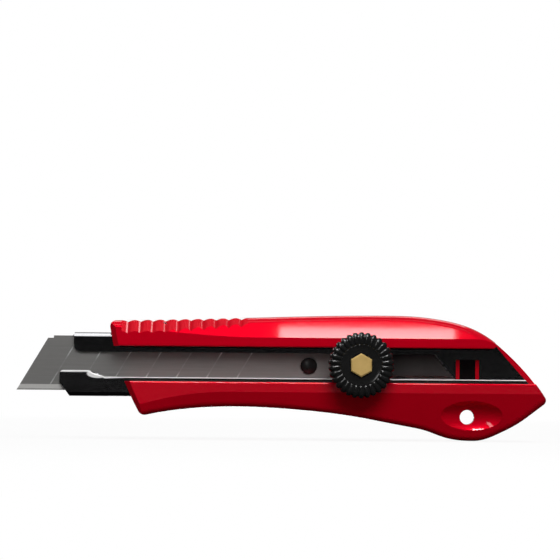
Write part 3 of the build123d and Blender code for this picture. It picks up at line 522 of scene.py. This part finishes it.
# radius and depth of the rings round each dimple, down to a slight lip
DIMPLE_RINGS = ((0.34, 0.58), (0.55, 0.44), (0.68, 0.20), (0.76, 0.0), (0.86, -0.05), (1.0, 0.0))
DIMPLE_POINTS = 14
DIMPLE_TO_EDGE, DIMPLE_TO_BADGE = 2.1 * MM, 1.5 * MM
ROW_LEAD = 8                                                # pitches from the start back past the pad's end
FIELD = 1.5 * MM                                            # spacing of the points between the dimples
FIELD_TO_DIMPLE, FIELD_TO_EDGE, FIELD_TO_BADGE = 1.5 * MM, 1.9 * MM, 1.2 * MM
EDGE_RINGS = (0.10, 0.22, 0.40, 0.65, 0.95, 1.35)           # lines along the outline, in mm from it
BADGE_RINGS = ((0.60, 0.0), (0.38, 0.02), (0.22, 0.10))     # lines round the badge: gap and drop, in mm
BADGE_POINTS = 90
NEARLY_FLOOR = 1e-5                                         # metres above the pad's floor


def pad_outline():
    """The pad's outline at its floor, as an even loop of (x, z)."""
    work = bmesh.new()
    work.from_mesh(pad.data)
    bmesh.ops.remove_doubles(work, verts=work.verts, dist=1e-6)
    floor_edges = [
        edge
        for edge in work.edges
        if all(v.co.y < pad_low.y + NEARLY_FLOOR for v in edge.verts)
        and any(f.calc_center_median().y > pad_low.y + NEARLY_FLOOR for f in edge.link_faces)
    ]
    links = {}
    for edge in floor_edges:
        near, far = edge.verts
        links.setdefault(near, []).append(far)
        links.setdefault(far, []).append(near)
    loops = []
    while links:
        start = min(links, key=lambda v: len(links[v]))
        loop, here = [start], start
        while True:
            ahead = [v for v in links.pop(here) if v in links]
            if not ahead:
                break
            here = ahead[0]
            loop.append(here)
        loops.append([Vector((v.co.x, v.co.z)) for v in loop])
    work.free()
    loop = max(loops, key=len)
    return even(loop, 0.7 * MM)


def even(loop, step):
    """The same closed loop with evenly spaced points, anticlockwise."""
    ends = loop[1:] + loop[:1]
    lengths = [(b - a).length for a, b in zip(loop, ends)]
    count = round(sum(lengths) / step)
    step = sum(lengths) / count
    points, at, k = [], 0.0, 0
    for i in range(count):
        while at + lengths[k] < i * step:
            at += lengths[k]
            k += 1
        points.append(loop[k].lerp(ends[k], (i * step - at) / lengths[k]))
    area = sum(a.cross(b) for a, b in zip(points, points[1:] + points[:1]))
    return points if area > 0 else points[::-1]


def inset(loop, by):
    """The loop moved inwards along its own normals."""
    moved = []
    for before, here, after in zip(loop[-1:] + loop[:-1], loop, loop[1:] + loop[:1]):
        along = (after - before).normalized()
        moved.append(here + by * Vector((-along.y, along.x)))
    return moved


def capsule(grow, count):
    """Outline of the badge's seat, grown by a gap, anticlockwise."""
    radius = (rim_high.z - rim_low.z) / 2 + grow
    half = (rim_high.x - rim_low.x) / 2 + grow - radius
    middle = Vector(((rim_low.x + rim_high.x) / 2, (rim_low.z + rim_high.z) / 2))
    loop = []
    for i in range(count):
        turn = 2 * math.pi * (i + 0.5) / count
        side = math.copysign(half, math.cos(turn))
        loop.append(middle + Vector((side + radius * math.cos(turn), radius * math.sin(turn))))
    return even(loop, 0.6 * MM)


def off_capsule(point):
    """Distance from a point to the badge seat's edge, below 0 inside it."""
    radius = (rim_high.z - rim_low.z) / 2
    half = (rim_high.x - rim_low.x) / 2 - radius
    dx = point.x - (rim_low.x + rim_high.x) / 2
    dz = point.y - (rim_low.z + rim_high.z) / 2
    return math.hypot(max(0.0, abs(dx) - half), dz) - radius


def nearest_on_badge(point):
    """The nearest point on the badge's long axis."""
    half = (rim_high.x - rim_low.x - (rim_high.z - rim_low.z)) / 2
    middle_x = (rim_low.x + rim_high.x) / 2
    x = min(max(point.x, middle_x - half), middle_x + half)
    return Vector((x, (rim_low.z + rim_high.z) / 2))


def grip(work):
    """The pad: points over its crown, dimples, edge and badge seat, joined by a flat triangulation."""
    outline = pad_outline()
    tree = KDTree(len(outline))
    for i, point in enumerate(outline):
        tree.insert((point.x, point.y, 0), i)
    tree.balance()
    shape = BVHTree.FromPolygons([v.co for v in pad.data.vertices], [f.vertices for f in pad.data.polygons])
    points, heights = [], []

    def add(point, y):
        points.append(point)
        heights.append(y)

    def crown(point):
        """Height of the CAD pad's outer face at a point."""
        hit = shape.ray_cast(Vector((point.x, 1, point.y)), Vector((0, -1, 0)))[0]
        return hit.y if hit else pad_low.y

    def crown_beside_badge(point, aside):
        """The crown's height a little further from the badge, clear of its seat."""
        return crown(point + (point - nearest_on_badge(point)).normalized() * aside)

    def edge_distance(point):
        """Distance from a point to the outline, below 0 outside it."""
        _, i, away = tree.find((point.x, point.y, 0))
        inward = (outline[(i + 1) % len(outline)] - outline[i - 1]).normalized()
        return away if inward.cross(point - outline[i]) > 0 else -away

    middles = []
    for row, z in enumerate(DIMPLE_ROWS):
        x = DIMPLE_START - (row % 2) * DIMPLE_PITCH / 2 + ROW_LEAD * DIMPLE_PITCH
        while x > pad_low.x:
            middle = Vector((x, z * MM))
            if edge_distance(middle) > DIMPLE_TO_EDGE and off_capsule(middle) > DIMPLE_TO_BADGE:
                middles.append(middle)
            x -= DIMPLE_PITCH
    near_dimple = KDTree(len(middles))
    for i, middle in enumerate(middles):
        near_dimple.insert((middle.x, middle.y, 0), i)
    near_dimple.balance()
    for middle in middles:
        add(middle, crown(middle) - DIMPLE_DEPTH * MM)
        for radius, depth in DIMPLE_RINGS:
            for i in range(DIMPLE_POINTS):
                turn = 2 * math.pi * i / DIMPLE_POINTS
                point = middle + radius * MM * Vector((math.cos(turn), math.sin(turn)))
                add(point, crown(point) - depth * MM)

    for j in range(int((pad_high.z - pad_low.z) / FIELD) + 1):
        for i in range(int((pad_high.x - pad_low.x) / FIELD) + 1):
            point = Vector((pad_low.x + (i + 0.5 * (j % 2)) * FIELD, pad_low.z + j * FIELD))
            clear = near_dimple.find((point.x, point.y, 0))[2] > FIELD_TO_DIMPLE
            if clear and edge_distance(point) > FIELD_TO_EDGE and off_capsule(point) > FIELD_TO_BADGE:
                add(point, crown(point))

    for by in EDGE_RINGS:
        for point in inset(outline, by * MM):
            add(point, crown(point))
    for grow, drop in BADGE_RINGS:
        for point in capsule(grow * MM, BADGE_POINTS):
            add(point, crown_beside_badge(point, 0.3 * MM) - drop * MM)
    seat = capsule(0.14 * MM, BADGE_POINTS)
    first_seat = len(points)
    for point in seat:
        add(point, crown_beside_badge(point, 0.4 * MM) - 0.22 * MM)
    first_edge = len(points)
    for point, inner in zip(outline, inset(outline, 0.03 * MM)):
        add(point, crown(inner) - 0.05 * MM)

    borders = [(first_seat + i, first_seat + (i + 1) % len(seat)) for i in range(len(seat))]
    borders += [(first_edge + i, first_edge + (i + 1) % len(outline)) for i in range(len(outline))]
    flat_points, _, faces, origin, _, _ = delaunay_2d_cdt(points, borders, [], 0, 1e-9)
    if len(flat_points) != len(points):
        raise SystemExit("the grip's points met")
    verts = [work.verts.new((point.x, heights[origin[i][0]], point.y)) for i, point in enumerate(flat_points)]
    place = {origin[i][0]: vert for i, vert in enumerate(verts)}
    for face in faces:
        middle = sum((flat_points[i] for i in face), Vector((0, 0))) / len(face)
        on_edge = all(origin[i][0] >= first_edge for i in face)
        on_seat = all(first_seat <= origin[i][0] < first_edge for i in face)
        if (on_edge and edge_distance(middle) < 0) or on_seat:
            continue
        work.faces.new([verts[i] for i in face])

    # walls from both borders down, each closed by one face
    for first, loop, y in ((first_seat, seat, rim_low.y - 0.02 * MM), (first_edge, outline, pad_low.y)):
        ring = [work.verts.new((point.x, y, point.y)) for point in loop]
        for i in range(len(loop)):
            j = (i + 1) % len(loop)
            work.faces.new((place[first + i], place[first + j], ring[j], ring[i]))
        work.faces.new(ring)


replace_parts(made("grip_dimpled", grip, "grip_rubber", "housing"), "grip_pad")

# ------------------------------------------------------- floor, light, camera
low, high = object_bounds()


def flat(name, wide, deep, at, turn=(0, 0, 0)):
    """A rectangle of the studio, lying flat or stood up."""
    mesh = bpy.data.meshes.new(name)
    x, y = wide / 2, deep / 2
    mesh.from_pydata([(-x, -y, 0), (x, -y, 0), (x, y, 0), (-x, y, 0)], [], [(0, 1, 2, 3)])
    thing = bpy.data.objects.new(name, mesh)
    scene.collection.objects.link(thing)
    thing.location = at
    thing.rotation_euler = turn
    return thing


def gloss_only(card):
    """Hides a card from everything except the object's gloss."""
    card.visible_camera = False
    card.visible_diffuse = False
    card.visible_shadow = False
    card.visible_transmission = False


def painted(card, material):
    card.data.materials.append(material)
    return card


# The floor is pale, and near white where the camera, a gloss or a glass sees it. It sends little
# light back up under the object, and the camera's white grows with the distance from it.
FLOOR_SEEN, FLOOR_BOUNCE = 0.80, 0.14
WHITE_NEAR, WHITE_FAR = 0.86, 1.0
pale = bpy.data.materials.new("floor_pale")
n = Tree(pale)
shade = n.span(n.rays("Is Diffuse Ray"), 0.0, 1.0, FLOOR_SEEN, FLOOR_BOUNCE)
away = n.tree.nodes.new("ShaderNodeVectorMath")
away.operation = "LENGTH"
n.link(n.place, away.inputs[0])
whiter = n.span(away.outputs["Value"], 0.2, 0.9, WHITE_NEAR, WHITE_FAR)
for_camera = n.math("MULTIPLY", n.rays("Is Camera Ray"), whiter)
share = n.math("MAXIMUM", for_camera, n.math("MULTIPLY", n.mirrored_or_through(), 0.5))
matte = n.shader_node("ShaderNodeBsdfDiffuse", Color=shade)
glow = n.shader_node("ShaderNodeEmission", Strength=1.0)
n.out(n.mixed(share, matte, glow))
painted(flat("floor", 30.0, 30.0, (0, 0, low.z - 0.00005)), pale)

# A ring of black cards round the object and under it, which only its gloss sees. The far card at
# the back is grey, so the steel nose reads as gunmetal from behind.
CARD_REACH = 2.7
CARD_HIGH = 1.6
card_black = bpy.data.materials.new("card_black")
n = Tree(card_black)
n.out(n.shader_node("ShaderNodeBsdfDiffuse", Color=(0.01, 0.01, 0.01, 1)))
card_grey = bpy.data.materials.new("card_grey")
n = Tree(card_grey)
fade = n.span(n.axis("Y"), -CARD_HIGH / 2, 0.1 - CARD_HIGH / 2, 0.10, 0.45)
n.out(n.shader_node("ShaderNodeEmission", Strength=fade))
lying = flat("card_lying", 2 * CARD_REACH, 2 * CARD_REACH, (0, 0, low.z + 0.00005))
gloss_only(painted(lying, card_black))
for k, paint in enumerate((card_black, card_black, card_grey, card_black)):
    turn = math.radians(90 * k)
    place = (CARD_REACH * math.sin(turn), -CARD_REACH * math.cos(turn), CARD_HIGH / 2)
    card = flat(f"card_{k}", 2 * CARD_REACH, CARD_HIGH, place, (math.radians(90), 0, turn))
    gloss_only(painted(card, paint))

# The room: white round the horizon for the camera, gloss and glass, dim above, soft for the rest
AMBIENT = 0.18
world = bpy.data.worlds.new("studio")
scene.world = world
n = Tree(world, "Generated")
band = n.span(n.axis("Z"), 0.14, 0.24, 1.0, 0.03)
white = n.shader_node("ShaderNodeBackground", Color=(1, 1, 1, 1), Strength=band)
soft = n.shader_node("ShaderNodeBackground", Color=(1, 1, 1, 1), Strength=AMBIENT)
seen = n.math("MAXIMUM", n.rays("Is Camera Ray"), n.mirrored_or_through())
n.out(n.mixed(seen, soft, white), "ShaderNodeOutputWorld")


def softbox(name, at, aim, wide, high, brightness):
    """A rectangular lamp; brightness is what a mirror would show of it."""
    data = bpy.data.lights.new(name, "AREA")
    data.shape = "RECTANGLE"
    data.size = wide
    data.size_y = high
    data.energy = brightness * math.pi * wide * high
    lamp = bpy.data.objects.new(name, data)
    scene.collection.objects.link(lamp)
    lamp.location = at
    lamp.rotation_mode = "QUATERNION"
    lamp.rotation_quaternion = (Vector(aim) - Vector(at)).to_track_quat("-Z", "Y")
    lamp.visible_camera = False
    return lamp


def glint(name, wide, deep, at, turn, brightness):
    """A bright card that only the object's gloss sees."""
    light = bpy.data.materials.new(name)
    tree = Tree(light)
    tree.out(tree.shader_node("ShaderNodeEmission", Strength=brightness))
    gloss_only(painted(flat(name, wide, deep, at, turn), light))


middle = Vector((-0.06, 0, 0.015))
# the two main lamps light the colours and are kept out of the gloss
softbox("key", (0.16, -0.88, 0.80), middle, 0.9, 0.5, 7.2).visible_glossy = False
softbox("back", (-0.06, 0.50, 1.00), middle, 0.9, 0.4, 5.0).visible_glossy = False
# long lamps over the handle: the highlights on the front facet, the top edge and the back
softbox("facet_light", (-0.031, -0.0485, 0.18), (-0.031, -0.0055, 0.028), 0.062, 0.009, 11.0)
softbox("edge_light", (-0.055, 0.02, 0.52), (-0.055, 0.019, 0.0), 0.25, 0.05, 1.2)
softbox("back_light", (-0.055, 0.42, 0.45), (-0.055, 0, 0.02), 0.34, 0.10, 3.0)
# bright cards for the wheel's ribs, the steel nose, the handle's lower edge and its front end
glint("wheel_glint", 0.14, 0.13, (-0.06, -0.30, 0.43), (math.radians(35), 0, 0), 22.0)
glint("nose_glint", 0.045, 0.55, (-0.145, -0.14, 0.26), (math.radians(40), 0, 0), 5.0)
glint("low_glint", 0.13, 0.02, (-0.055, 0.045, low.z + 0.0003), (0, 0, 0), 6.0)
glint("front_glint", 0.3, 0.5, (-0.5, 0.30, 0.2), (0, math.radians(90), 0), 5.0)

LENS, SENSOR = 400.0, 36.0
WIDE = 184.8 * MM                       # width of the main view at the object
camera = bpy.data.objects.new("camera", bpy.data.cameras.new("camera"))
scene.collection.objects.link(camera)
camera.data.lens = LENS
camera.data.sensor_width = SENSOR
camera.data.shift_y = 0.153
camera.location = (-61.8 * MM, -WIDE * LENS / SENSOR, 16.5 * MM)
camera.rotation_euler = (math.radians(90), math.radians(-0.475), 0)
camera.data.clip_start, camera.data.clip_end = 0.01, 100
scene.camera = camera
scene.view_settings.view_transform = "Standard"

bpy.context.view_layer.update()
